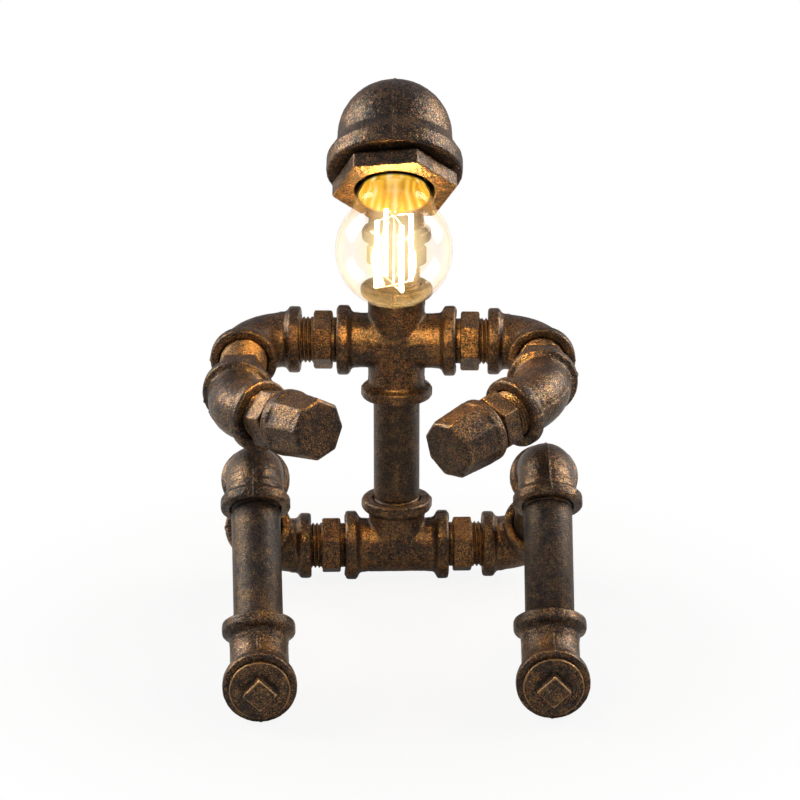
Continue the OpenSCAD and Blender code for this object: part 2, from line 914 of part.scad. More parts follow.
// The hand: an eight-sided cap with a round bead at its mouth
module hand_cap(side) {
    octagon_root = cap_af / cos(cap_octagon);
    octagon_end = cap_end_af / cos(cap_octagon);
    color(iron_worn)
        hand_frame(side)
            translate([0, 0, half_elbow_reach + wrist_exposed(side)])
                difference() {
                    union() {
                        rotate_extrude()
                            polygon(concat(
                                [[0, 0]],
                                round_edge([cap_bead_od / 2 - band_edge, band_edge], band_edge, -90, 0),
                                round_edge([cap_bead_od / 2 - band_edge, cap_bead_w - band_edge],
                                    band_edge, 0, 90),
                                [[0, cap_bead_w]]));
                        rotate([0, 0, cap_octagon]) {
                            translate([0, 0, cap_bead_w - 1])
                                cylinder(h = cap_length - cap_bead_w - cap_edge + 1, d1 = octagon_root,
                                    d2 = octagon_end, $fn = 8);
                            translate([0, 0, cap_length - cap_edge])
                                cylinder(h = cap_edge, d1 = octagon_end,
                                    d2 = octagon_end - cap_edge_slope * cap_edge, $fn = 8);
                        }
                    }
                    translate([0, 0, -eps])
                        cylinder(h = socket_depth + eps, d = socket_bore);
                }
}

// ---- Legs ----

module hip_nipple(side) {
    at_spine()
        on_side(side)
            translate([tee_reach, 0, pelvis_z])
                rotate([0, 90, 0])
                    hex_nipple(hip_exposed, hex_stub);
}

module hip_elbow(side) {
    at_spine()
        on_side(side)
            translate([hip_x, 0, pelvis_z])
                rotate([-thigh_rise, 0, 0])
                    rotate([0, 90, 0])
                        right_angle_elbow();
}

module thigh_pipe(side) {
    thigh_frame(side)
        translate([0, 0, elbow_reach])
            straight_pipe(thigh_exposed);
}

module knee_elbow(side) {
    thigh_frame(side)
        translate([0, 0, thigh_span])
            rotate([0, 0, -toe_in])
                right_angle_elbow();
}

module shin_pipe(side) {
    shin_frame(side)
        translate([0, 0, elbow_reach])
            straight_pipe(shin_exposed);
}

module foot_elbow(side) {
    shin_frame(side)
        translate([0, 0, shin_span])
            rotate([0, 0, 180])
                half_elbow();
}

// The toe: a plug with a round flange and a tapered square head
module foot_plug(side) {
    color(iron_worn)
        foot_frame(side)
            translate([0, 0, half_elbow_reach]) {
                translate([0, 0, -thread_engaged])
                    cylinder(h = thread_engaged + plug_gap + eps, d = pipe_od);
                translate([0, 0, plug_gap])
                    cylinder(h = plug_flange_t, d = plug_flange_od);
                translate([0, 0, plug_gap + plug_flange_t - eps])
                    cylinder(h = plug_head_h + eps, d1 = plug_head_af * sqrt(2),
                        d2 = plug_tip_af * sqrt(2), $fn = 4);
            }
}

pelvis_tee();
cord_bush();
spine_pipe();
chest_cross();
neck_nipple();
neck_elbow();
head_nipple();
head_elbow();
head_bushing();
lamp_holder();
holder_shell();
holder_contact();
bulb_cap();
bulb_contact();
bulb_glass();
bulb_stem();
bulb_wires();
filament(1);  // filament_1
filament(2);  // filament_2
filament(3);  // filament_3
filament(4);  // filament_4
lead_torso();
lead_neck();
lead_head();
shoulder_nipple(left);  // shoulder_nipple_left
shoulder_elbow(left);  // shoulder_elbow_left
arm_nipple(left);  // arm_nipple_left
forearm_elbow(left);  // forearm_elbow_left
wrist_nipple(left);  // wrist_nipple_left
hand_cap(left);  // hand_cap_left
shoulder_nipple(right);  // shoulder_nipple_right
shoulder_elbow(right);  // shoulder_elbow_right
arm_nipple(right);  // arm_nipple_right
forearm_elbow(right);  // forearm_elbow_right
wrist_nipple(right);  // wrist_nipple_right
hand_cap(right);  // hand_cap_right
hip_nipple(left);  // hip_nipple_left
hip_elbow(left);  // hip_elbow_left
thigh_pipe(left);  // thigh_pipe_left
knee_elbow(left);  // knee_elbow_left
shin_pipe(left);  // shin_pipe_left
foot_elbow(left);  // foot_elbow_left
foot_plug(left);  // foot_plug_left
hip_nipple(right);  // hip_nipple_right
hip_elbow(right);  // hip_elbow_right
thigh_pipe(right);  // thigh_pipe_right
knee_elbow(right);  // knee_elbow_right
shin_pipe(right);  // shin_pipe_right
foot_elbow(right);  // foot_elbow_right
foot_plug(right);  // foot_plug_right
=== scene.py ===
# %% [markdown]
# # A seated robot lamp of pipe fittings
# The lamp is screwed together from cast elbows, a tee and a cross, turned hexagon
# nipples, straight pipes and a globe bulb under a domed head. The CAD model gives
# every piece its place and its exact size. This script gives each piece the skin of
# the real thing: sand-cast iron with soft edges and a parting seam, cut threads,
# and a dark bronze coat that is rubbed through to copper and gold.

# %% Load the frame
import json
import math

import bmesh
import bpy
import numpy as np
from mathutils import Matrix, Vector, noise


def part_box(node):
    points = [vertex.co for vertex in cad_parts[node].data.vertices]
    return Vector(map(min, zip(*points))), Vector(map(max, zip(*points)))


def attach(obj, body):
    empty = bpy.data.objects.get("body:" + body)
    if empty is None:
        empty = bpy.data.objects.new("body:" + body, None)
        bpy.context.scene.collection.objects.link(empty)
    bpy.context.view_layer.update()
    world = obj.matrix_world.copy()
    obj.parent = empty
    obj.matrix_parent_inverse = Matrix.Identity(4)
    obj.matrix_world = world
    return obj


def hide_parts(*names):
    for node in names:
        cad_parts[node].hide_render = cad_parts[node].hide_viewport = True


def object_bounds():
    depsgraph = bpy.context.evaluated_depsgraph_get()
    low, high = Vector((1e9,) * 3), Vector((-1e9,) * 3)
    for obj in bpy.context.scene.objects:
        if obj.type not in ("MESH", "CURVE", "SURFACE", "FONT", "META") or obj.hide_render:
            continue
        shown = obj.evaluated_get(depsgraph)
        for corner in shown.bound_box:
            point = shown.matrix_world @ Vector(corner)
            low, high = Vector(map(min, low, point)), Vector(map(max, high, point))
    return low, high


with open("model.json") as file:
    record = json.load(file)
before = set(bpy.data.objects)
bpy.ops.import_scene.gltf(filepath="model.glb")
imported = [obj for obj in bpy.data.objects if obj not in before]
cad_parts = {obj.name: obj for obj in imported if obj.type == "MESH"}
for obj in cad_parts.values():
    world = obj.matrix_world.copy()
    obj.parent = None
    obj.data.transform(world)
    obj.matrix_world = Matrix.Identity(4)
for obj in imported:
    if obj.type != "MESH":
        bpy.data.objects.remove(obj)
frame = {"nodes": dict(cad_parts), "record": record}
cad_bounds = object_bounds()
MM = 0.001

# %% [markdown]
# ## Where the pieces lie
# Every fitting sits on a few centre lines, along which pipes and nipples are screwed
# into it. A turned piece tells its own centre line: its side walls face every way
# across the line, and only its ends face along it, so the spread of its face normals
# singles that direction out. Reading the lines from the CAD keeps one source of truth.


# %% Centre lines
def points_of(mesh):
    flat = np.empty(len(mesh.vertices) * 3)
    mesh.vertices.foreach_get("co", flat)
    return flat.reshape(-1, 3)


class Line:
    """The centre line of a turned piece, and how far the piece reaches along it."""

    def __init__(self, node):
        mesh = frame["nodes"][node].data
        count = len(mesh.polygons)
        area, normal, centre = np.empty(count), np.empty(count * 3), np.empty(count * 3)
        mesh.polygons.foreach_get("area", area)
        mesh.polygons.foreach_get("normal", normal)
        mesh.polygons.foreach_get("center", centre)
        normal, centre = normal.reshape(-1, 3), centre.reshape(-1, 3)
        spread, ways = np.linalg.eigh((normal * area[:, None]).T @ normal)
        lone = 0 if spread[1] - spread[0] > spread[2] - spread[1] else 2
        self.way = ways[:, lone]
        self.point = (centre * area[:, None]).sum(0) / area.sum()
        along = self.along(points_of(mesh))
        self.low, self.high = along.min(), along.max()

    def along(self, points):
        """How far along the line points lie."""
        return (points - self.point) @ self.way

    def across(self, points):
        """The offsets of points from the line."""
        offset = points - self.point
        return offset - np.outer(offset @ self.way, self.way)

    def flip(self):
        self.way = -self.way
        self.low, self.high = -self.high, -self.low

    def matrix(self):
        """Turns a shape drawn along +Z from the origin into its place on the line."""
        z = Vector(self.way)
        x = z.orthogonal().normalized()
        turn = Matrix((x, z.cross(x), z)).transposed().to_4x4()
        turn.translation = Vector(self.point)
        return turn


def crossing(a, b):
    """The point where two centre lines meet, and the normal of the plane they span."""
    normal = np.cross(a.way, b.way)
    normal /= np.linalg.norm(normal)
    gap = b.point - a.point
    reach = np.cross(gap, b.way) @ normal / (np.cross(a.way, b.way) @ normal)
    return a.point + a.way * reach, normal


SIDES = ("left", "right")
TURNED = ["neck_nipple", "head_nipple", "head_bushing", "spine_pipe"]
for side in SIDES:
    TURNED += [f"{part}_{side}" for part in
               ("shoulder_nipple", "arm_nipple", "wrist_nipple", "hip_nipple",
                "thigh_pipe", "shin_pipe", "foot_plug")]
lines = {node: Line(node) for node in TURNED + ["bulb_glass"]}
print("centre lines:", len(lines))

# %% [markdown]
# ## The camera
# A product picture of a small object is taken from a few steps away with a long
# lens, which keeps upright pipes upright. The camera stands 1.3 m in front of the
# spine pipe, above the lamp, and looks down at it by about 19 degrees.

# %% Camera
SPINE = Vector(lines["spine_pipe"].point)
CAMERA_PLACE = Vector((SPINE.x - 0.0348, SPINE.y - 1.302, 0.5437))
CAMERA_TILT = math.radians(90 - 19.3)
CAMERA_TURN = math.radians(-1.6)
lens = bpy.data.cameras.new("camera")
lens.lens = 135
lens.sensor_width = 36
lens.clip_end = 20
camera = bpy.data.objects.new("camera", lens)
camera.location = CAMERA_PLACE
camera.rotation_euler = (CAMERA_TILT, 0, CAMERA_TURN)
bpy.context.scene.collection.objects.link(camera)
bpy.context.scene.camera = camera
bpy.context.scene.view_settings.view_transform = "Standard"
print("camera at", tuple(round(v, 4) for v in CAMERA_PLACE))

# %% [markdown]
# ## Working on big meshes
# Cast skins have tens of thousands of points, so their softening runs on whole arrays
# of points. One pass moves each point towards the middle of its neighbours. The same
# pass also spreads a mask, such as wear, over the surface.


# %% Array helpers
class Web:
    """The points of a mesh and the edges between them, as arrays."""

    def __init__(self, mesh):
        self.mesh = mesh
        self.points = points_of(mesh)
        pairs = np.empty(len(mesh.edges) * 2, np.int32)
        mesh.edges.foreach_get("vertices", pairs)
        self.pairs = pairs.reshape(-1, 2)
        self.valence = np.maximum(np.bincount(pairs, minlength=len(self.points)), 1)

    def mean(self, values):
        """The mean of each point's neighbours."""
        a, b = self.pairs[:, 0], self.pairs[:, 1]
        if values.ndim == 2:
            return np.stack([self.mean(values[:, i]) for i in range(values.shape[1])], 1)
        total = np.bincount(a, values[b], len(values)) + np.bincount(b, values[a], len(values))
        return total / self.valence

    def soften(self, passes, share=0.5):
        """share is a number, or one for each point."""
        share = np.broadcast_to(share, len(self.points))[:, None]
        for _ in range(passes):
            self.points += (self.mean(self.points) - self.points) * share

    def spread(self, values, passes):
        for _ in range(passes):
            values = (values + self.mean(values)) / 2
        return values

    def normals(self):
        self.store()
        flat = np.empty(len(self.points) * 3)
        self.mesh.vertex_normals.foreach_get("vector", flat)
        return flat.reshape(-1, 3)

    def curvature(self, pitch):
        """How sharply the surface bends outwards, per metre; hollows are negative."""
        inward = self.points - self.mean(self.points)
        return 4 * (inward * self.normals()).sum(1) / pitch ** 2

    def store(self):
        self.mesh.vertices.foreach_set("co", self.points.astype(np.float32).ravel())
        self.mesh.update()

    def keep_mask(self, name, values):
        mask = self.mesh.attributes.get(name) or self.mesh.attributes.new(name, "FLOAT", "POINT")
        mask.data.foreach_set("value", np.clip(values, 0, 1).astype(np.float32))


def ramp(values, low, high):
    """0 below low, 1 above high, and a smooth rise between them."""
    t = np.clip((values - low) / (high - low), 0, 1)
    return t * t * (3 - 2 * t)


def lumps(points, size, seed):
    """Smooth bumps from -1 to 1 whose width is about size."""
    shift = Vector((seed * 3.7, seed * 1.9, seed * 5.3))
    return np.array([noise.noise(Vector(p) + shift) for p in points / size])


# %% [markdown]
# ## From CAD solid to mesh piece
# Each CAD mesh is loose triangles, so a copy is merged first. A finished piece rides
# on the body of the node that it replaces.


# %% Piece helpers
SLOTS = {part["node"]: part["material_slot"] for part in frame["record"]["subparts"]}
BODY_OF = {node: body for body, nodes in frame["record"]["behaviour"]["bodies"].items()
           for node in nodes}
WELD = 1e-6


def merged_copy(node):
    shape = bmesh.new()
    shape.from_mesh(frame["nodes"][node].data)
    bmesh.ops.remove_doubles(shape, verts=shape.verts, dist=WELD)
    return shape


def to_mesh(shape, name):
    mesh = bpy.data.meshes.new(name)
    shape.to_mesh(mesh)
    shape.free()
    return mesh


def finish_piece(mesh, name, node):
    """Makes the object that stands for a CAD node."""
    mesh.name = name
    mesh.shade_smooth()
    piece = bpy.data.objects.new(name, mesh)
    bpy.context.scene.collection.objects.link(piece)
    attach(piece, BODY_OF[node])
    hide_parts(node)
    print(name, len(mesh.polygons), "faces")
    return piece


def voxel_skin(mesh, pitch):
    """An even, closed skin of small squares round a solid."""
    carrier = bpy.data.objects.new("carrier", mesh)
    bpy.context.scene.collection.objects.link(carrier)
    remesh = carrier.modifiers.new("remesh", "REMESH")
    remesh.mode = "VOXEL"
    remesh.voxel_size = pitch
    remesh.adaptivity = 0
    graph = bpy.context.evaluated_depsgraph_get()
    skin = bpy.data.meshes.new_from_object(carrier.evaluated_get(graph))
    bpy.data.objects.remove(carrier)
    return skin


def spun(section, steps):
    """The closed half section (radius, height) turned round Z."""
    shape = bmesh.new()
    chain = [shape.verts.new((r, 0, z)) for r, z in section]
    for a, b in zip(chain, chain[1:] + chain[:1]):
        if a.co.x > 0 or b.co.x > 0:
            shape.edges.new((a, b))
    bmesh.ops.spin(shape, geom=shape.verts[:] + shape.edges[:], cent=(0, 0, 0), axis=(0, 0, 1),
                   angle=2 * math.pi, steps=steps, use_merge=True)
    bmesh.ops.remove_doubles(shape, verts=shape.verts, dist=WELD)
    bmesh.ops.recalc_face_normals(shape, faces=shape.faces)
    return shape


# %% [markdown]
# ## Cast fittings
# A fitting is poured into a sand mould. The metal has no sharp edges, its hollow
# corners are full, the halves of the mould leave a thin seam, and grains of sand
# leave a pebbled skin. A bevel can't round the curved crotches of a tee, so the solid
# gets an even skin of small squares, which is then softened: everywhere a little, and
# in the hollows a lot. Afterwards the sockets are opened again, so that the threads
# screwed into them stay clear, and no pebble may stand outside the size of the CAD.

# %% Cast skin
PITCH = 0.6 * MM
SOFT_PITCH = 0.5 * MM
# Bends per metre at which a mask starts and at which it is full.
CROTCH_BEND = (60, 250)
WORN_BEND = (260, 1000)
HOLLOW_BEND = (120, 700)
PEBBLE = 1.5 * MM
LUMP = 3.6 * MM
SEAM_WIDTH = 0.45 * MM
SEAM_RAG = 5 * MM
PIPE_RADIUS = 10.65 * MM
WIDER_MALES = {"head_bushing": 20.95 * MM, "bulb_glass": 16.8 * MM}
SOCKET_GAP = 0.3 * MM
SHADE_REACH = 0.4 * MM


def passes_at(pitch, passes, least):
    """The passes that round squares of this pitch as passes round those of SOFT_PITCH."""
    return max(least, round(passes * (SOFT_PITCH / pitch) ** 2))


def open_socket(web, male):
    """Keeps a socket's wall clear of the round piece in it; returns the points inside."""
    line, radius = lines[male], WIDER_MALES.get(male, PIPE_RADIUS)
    along = line.along(web.points)
    across = line.across(web.points)
    reach = np.linalg.norm(across, axis=1)
    clear = radius + SOCKET_GAP
    beside = (along > line.low - MM) & (along < line.high + MM)
    inside = beside & (reach < clear) & (reach > radius / 2)
    web.points[inside] += across[inside] * (clear / reach[inside] - 1)[:, None]
    # The points just inside the mouth are given back, to take painted shade.
    return beside & (reach < clear + SHADE_REACH)


def cast_skin(node, males, seam=None, pitch=PITCH, rounding=3, fillet=4, relief=0.07 * MM,
              seam_height=0.45 * MM, seed=0):
    """The softened and pebbled skin of a fitting, with a seam between two centre lines."""
    web = Web(voxel_skin(to_mesh(merged_copy(node), node), pitch))
    web.soften(passes_at(pitch, rounding, 2))
    crotch = web.spread(ramp(-web.curvature(pitch), *CROTCH_BEND), 6)
    web.soften(passes_at(pitch, fillet, 4), 0.6 * np.clip(crotch * 3, 0, 1))
    bend = web.spread(web.curvature(pitch), 2)
    normals = web.normals()
    height = relief * (lumps(web.points, PEBBLE, seed) + 0.8 * lumps(web.points, LUMP, seed + 7))
    if seam:
        point, across = crossing(*(lines[male] for male in seam))
        far = np.abs((web.points - point) @ across)
        ragged = 1 + 0.5 * lumps(web.points, SEAM_RAG, seed + 3)
        height = height + seam_height * ragged * np.exp(-(far / SEAM_WIDTH) ** 2)
    web.points += normals * height[:, None]
    shaded = np.zeros(len(web.points))
    for male in males:
        shaded = np.maximum(shaded, open_socket(web, male))
    web.points = np.clip(web.points, *cad_bounds)
    web.store()
    web.keep_mask("wear", ramp(bend, *WORN_BEND))
    # The hollow mask marks where painted shade goes: the skin's hollows and the socket mouths.
    web.keep_mask("hollow", np.maximum(ramp(-bend, *HOLLOW_BEND), shaded))
    return finish_piece(web.mesh, "cast_" + node, node)


# %% Elbows, tee and cross
ELBOWS = (("shoulder_elbow", "shoulder_nipple", "arm_nipple"),
          ("forearm_elbow", "arm_nipple", "wrist_nipple"),
          ("hip_elbow", "hip_nipple", "thigh_pipe"),
          ("knee_elbow", "thigh_pipe", "shin_pipe"),
          ("foot_elbow", "shin_pipe", "foot_plug"))
castings = []
for side in SIDES:
    for elbow, one, two in ELBOWS:
        ends = (f"{one}_{side}", f"{two}_{side}")
        castings.append(cast_skin(f"{elbow}_{side}", ends, ends, seed=len(castings)))
ends = ("neck_nipple", "head_nipple")
castings.append(cast_skin("neck_elbow", ends, ends, seed=20))
castings.append(cast_skin(
    "pelvis_tee", ("spine_pipe", "hip_nipple_left", "hip_nipple_right"),
    ("spine_pipe", "hip_nipple_left"), seed=21))
castings.append(cast_skin(
    "chest_cross",
    ("spine_pipe", "neck_nipple", "shoulder_nipple_left", "shoulder_nipple_right"),
    ("neck_nipple", "shoulder_nipple_left"), seed=22))

# %% Head
ends = ("head_nipple", "head_bushing")
castings.append(cast_skin("head_elbow", ends, ends, relief=0.1 * MM, seam_height=0.5 * MM,
                          seed=30))

# %% Hands, toes and bushing
FINE = dict(pitch=PITCH * 0.8, fillet=3)
for count, side in enumerate(SIDES):
    castings.append(cast_skin(f"hand_cap_{side}", [f"wrist_nipple_{side}"], seed=44 + count,
                              **FINE))
    castings.append(cast_skin(f"foot_plug_{side}", [], relief=0.05 * MM, seed=54 + count,
                              **FINE))
castings.append(cast_skin("head_bushing", ["bulb_glass"], rounding=2, relief=0.04 * MM, seed=60,
                          **FINE))

# %% [markdown]
# ## Hexagon nipples and pipes
# A nipple is a turned tube with a thread at each end and a hexagon for the wrench.
# The tube is spun from its half section. A thread is a ridge that climbs as it goes
# round, so each point of the spun wall moves in or out by its height and its angle:
# one turn of angle counts as one pitch of height. That gives a true screw thread.

# %% Threads
THREAD_PITCH = 25.4 / 14 * MM
THREAD_DEPTH = 1.0 * MM
THREAD_FADE = 0.9 * MM
CREST = PIPE_RADIUS - 0.04 * MM
CHAMFER = 0.7 * MM
RING_STEP = 0.2 * MM
ROUND_STEPS = 72


def threaded_barrel(low, high, bore, zones):
    """A tube along Z from low to high with threads in the given zones of height."""
    heights = [low]
    while heights[-1] < high - WELD:
        z = heights[-1]
        fine = any(a - RING_STEP <= z < b for a, b in zones)
        ahead = [a for a, b in zones if a > z] + [high]
        heights.append(min(z + RING_STEP, high) if fine else min(ahead))
    outline = [(CREST - (CHAMFER if z in (low, high) else 0), z) for z in heights]
    outline += [(bore + CHAMFER, high), (bore, high - CHAMFER),
                (bore, low + CHAMFER), (bore + CHAMFER, low)]
    shape = spun(outline, ROUND_STEPS)
    for vert in shape.verts:
        reach = math.hypot(vert.co.x, vert.co.y)
        if reach < CREST - 0.01 * MM:
            continue
        z = vert.co.z
        fade = max((min(1, (z - a) / THREAD_FADE, (b - z) / THREAD_FADE)
                    for a, b in zones if a < z < b), default=0)
        turn = (z / THREAD_PITCH - math.atan2(vert.co.y, vert.co.x) / (2 * math.pi)) % 1
        ridge = min(1, max(0, (1 - abs(2 * turn - 1)) * 1.3 - 0.15))
        out = CREST - THREAD_DEPTH * fade * (1 - ridge)
        vert.co.x *= out / reach
        vert.co.y *= out / reach
    return shape


# %% [markdown]
# The hexagon is cut out of the CAD nipple as a slab, because that keeps its size and
# its turn. Its inner wall is pushed into the tube's wall, where nothing shows, and
# its edges are softened like those of the castings.


# %% Wrench hexagon
HEXAGON_PITCH = PITCH * 0.6
SLAB_MARGIN = 0.1 * MM
INSIDE_TUBE_WALL = 9 * MM


def wrench_hexagon(node, line):
    """The hexagon of a nipple, in the nipple's own frame, and its two heights."""
    shape = merged_copy(node)
    bmesh.ops.transform(shape, matrix=line.matrix().inverted(), verts=shape.verts)
    heights = [v.co.z for v in shape.verts if math.hypot(v.co.x, v.co.y) > PIPE_RADIUS * 1.03]
    low, high = min(heights), max(heights)
    for height, up in ((low - SLAB_MARGIN, -1), (high + SLAB_MARGIN, 1)):
        bmesh.ops.bisect_plane(shape, geom=shape.verts[:] + shape.edges[:] + shape.faces[:],
                               plane_co=(0, 0, height), plane_no=(0, 0, up), clear_outer=True)
        rim = [e for e in shape.edges if e.is_boundary
               and all(abs(v.co.z - height) < WELD for v in e.verts)]
        bmesh.ops.bridge_loops(shape, edges=rim)
    bmesh.ops.recalc_face_normals(shape, faces=shape.faces)
    for vert in shape.verts:
        reach = math.hypot(vert.co.x, vert.co.y)
        if reach < PIPE_RADIUS * 0.95:
            vert.co.x *= INSIDE_TUBE_WALL / reach
            vert.co.y *= INSIDE_TUBE_WALL / reach
    web = Web(voxel_skin(to_mesh(shape, node), HEXAGON_PITCH))
    web.soften(4)
    bend = web.spread(web.curvature(HEXAGON_PITCH), 1)
    web.keep_mask("wear", ramp(bend, 500, 2000))
    web.store()
    return web.mesh, low, high


# %% Nipples
NIPPLE_BORE = 7.5 * MM
CREST_WEAR = 0.7
THREAD_END = 3 * MM
PLAIN_STUB = 16 * MM


def screwed_piece(node, name, bore, zones, worn, hexagon=None):
    """A threaded tube in its place, with its hexagon where it has one."""
    line = lines[node]
    barrel = to_mesh(threaded_barrel(line.low, line.high, bore, sorted(zones)), node)
    web = Web(barrel)
    reach = np.linalg.norm(web.points[:, :2], axis=1)
    web.keep_mask("wear", ramp(reach, CREST - 0.4 * MM, CREST) * worn)
    whole = bmesh.new()
    if hexagon:
        whole.from_mesh(hexagon)
    whole.from_mesh(barrel)
    bmesh.ops.transform(whole, matrix=line.matrix(), verts=whole.verts)
    return finish_piece(to_mesh(whole, name), name, node)


def hexagon_nipple(node):
    line = lines[node]
    hexagon, low, high = wrench_hexagon(node, line)
    if low + high > line.low + line.high:
        # The hexagon belongs near the low end, and the long thread above it.
        line.flip()
        hexagon, low, high = wrench_hexagon(node, line)
    zones = [(high, line.high - THREAD_END)]
    if low - line.low > PLAIN_STUB:
        zones.append((line.low + THREAD_END, low))
    return screwed_piece(node, "turned_" + node, NIPPLE_BORE, zones, CREST_WEAR, hexagon)


def close_nipple(node, plain_end=8 * MM):
    """A short nipple without a hexagon, threaded all along what shows of it."""
    line = lines[node]
    return screwed_piece(node, "turned_" + node, NIPPLE_BORE,
                         [(line.low + plain_end, line.high - plain_end)], CREST_WEAR)


nipples = [hexagon_nipple("neck_nipple"), close_nipple("head_nipple")]
for side in SIDES:
    for part in ("shoulder_nipple", "arm_nipple", "wrist_nipple", "hip_nipple"):
        nipples.append(hexagon_nipple(f"{part}_{side}"))

# %% Pipes
PIPE_BORE = 8.05 * MM
PIPE_THREAD = (6 * MM, 12.2 * MM)


def drawn_pipe(node):
    """A pipe with a short thread where it enters its fitting, at each end."""
    line = lines[node]
    first, last = PIPE_THREAD
    return screwed_piece(node, "drawn_" + node, PIPE_BORE,
                         [(line.low + first, line.low + last),
                          (line.high - last, line.high - first)], worn=0)


pipes = [drawn_pipe("spine_pipe")]
for side in SIDES:
    for part in ("thigh_pipe", "shin_pipe"):
        pipes.append(drawn_pipe(f"{part}_{side}"))

# %% [markdown]
# ## The bulb
# The globe is blown from a thin tube: a round neck that flares into a sphere. Its
# half section is spun in small steps, because a clear globe shows every facet in its
# outline, and the wall has two faces, as the real glass has. Heights are measured
# from the bushing's face. Three masks are kept on it for the light and shade painted
# on it: the part of the inner wall that the filaments light, the dark collar of
# painted shade outside it, and the streaks of painted glow that run down the lit part.

# %% Bulb glass
GLOBE_RADIUS = 24.6 * MM
NECK_RADIUS = 12.5 * MM
FACE_RADIUS = 15.2 * MM
GLOBE_OUT = 27.8 * MM
NECK_START = -5.5 * MM
GLASS = 0.9 * MM
NECK_JOIN = math.radians(46)
GLOBE_STEPS = 40
NECK_STEPS = 14
LIT_NECK_TOP = 1.4 * MM
COLLAR_TOP = 0.3 * MM
STREAK_WIDTH = 0.16
STREAK_DRIFT = 12
bulb_line = lines["bulb_glass"]
cap_middle = (np.array(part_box("bulb_cap")[0]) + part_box("bulb_cap")[1]) / 2
if bulb_line.along(cap_middle[None])[0] > 0:
    bulb_line.flip()
face_height = bulb_line.high - GLOBE_RADIUS - GLOBE_OUT


def glass_section(inset):
    """Half section of the glass from its neck to its pole, drawn in by inset."""
    ball, neck = GLOBE_RADIUS - inset, NECK_RADIUS - inset
    meet = np.array((ball * math.sin(NECK_JOIN), GLOBE_OUT - ball * math.cos(NECK_JOIN)))
    start = np.array((neck, NECK_START))
    # The flare is a curve that bows out until it passes the bushing's face at its radius.
    u = -start[1] / (meet[1] - start[1])
    bow = (FACE_RADIUS - inset - (1 - u) * start[0] - u * meet[0]) / (2 * u * (1 - u))
    middle = (start + meet) / 2 + np.array((bow, 0))
    section = [(neck, bulb_line.low - face_height)]
    for u in np.linspace(0, 1, NECK_STEPS):
        section.append(tuple((1 - u) ** 2 * start + 2 * u * (1 - u) * middle + u * u * meet))
    for angle in np.linspace(NECK_JOIN, math.pi, GLOBE_STEPS + 1)[1:-1]:
        section.append((ball * math.sin(angle), GLOBE_OUT - ball * math.cos(angle)))
    return [(r, z + face_height) for r, z in section] + [(0, bulb_line.high - inset)]


glass_shape = spun(glass_section(0) + glass_section(GLASS)[::-1], 96)
glass_mesh = to_mesh(glass_shape, "blown_globe")
glass_web = Web(glass_mesh)
height = glass_web.points[:, 2] - face_height
reach = np.linalg.norm(glass_web.points[:, :2], axis=1)
middle_wall = np.array([(z - face_height, r) for r, z in glass_section(GLASS / 2)]).T
outer = reach > np.interp(height, *middle_wall)
# Masks for painted light: the lit inside of the neck, its dark collar of painted shade, and
# streaks of painted glow.
glass_web.keep_mask("lit_neck", ~outer & (height < LIT_NECK_TOP))
glass_web.keep_mask("collar", outer & (height < COLLAR_TOP))
angle = np.arctan2(glass_web.points[:, 1], glass_web.points[:, 0])
round_neck = np.stack((np.cos(angle), np.sin(angle), height * STREAK_DRIFT), 1)
glass_web.keep_mask("streak", 0.5 + lumps(round_neck, STREAK_WIDTH, 70))
glass_mesh.transform(bulb_line.matrix())
globe = finish_piece(glass_mesh, "blown_globe", "bulb_glass")

# %% [markdown]
# ## Shader maths
# A finish is a recipe of masks: where the coat is rubbed, where it is grainy. Written
# as plain Python expressions the recipe stays readable, so a small class wraps a
# socket and turns each operator into a Math node. A second class makes every other
# node, for materials and for the world alike.


# %% Socket maths
class Mask:
    """A shader output that takes plain arithmetic."""

    def __init__(self, paint, socket):
        self.paint, self.socket = paint, socket

    def math(self, operation, *values):
        return self.paint.node("ShaderNodeMath", dict(enumerate(values)), operation=operation)

    def __add__(self, other): return self.math("ADD", self, other)
    def __sub__(self, other): return self.math("SUBTRACT", self, other)
    def __rsub__(self, other): return self.math("SUBTRACT", other, self)
    def __mul__(self, other): return self.math("MULTIPLY", self, other)
    def __pow__(self, other): return self.math("POWER", self, other)
    __radd__, __rmul__ = __add__, __mul__

    def most(self, other): return self.math("MAXIMUM", self, other)

    def between(self, low, high):
        """0 below low and 1 above high, with a smooth rise."""
        return self.paint.node("ShaderNodeMapRange", {"Value": self, "From Min": low,
                               "From Max": high}, interpolation_type="SMOOTHSTEP")


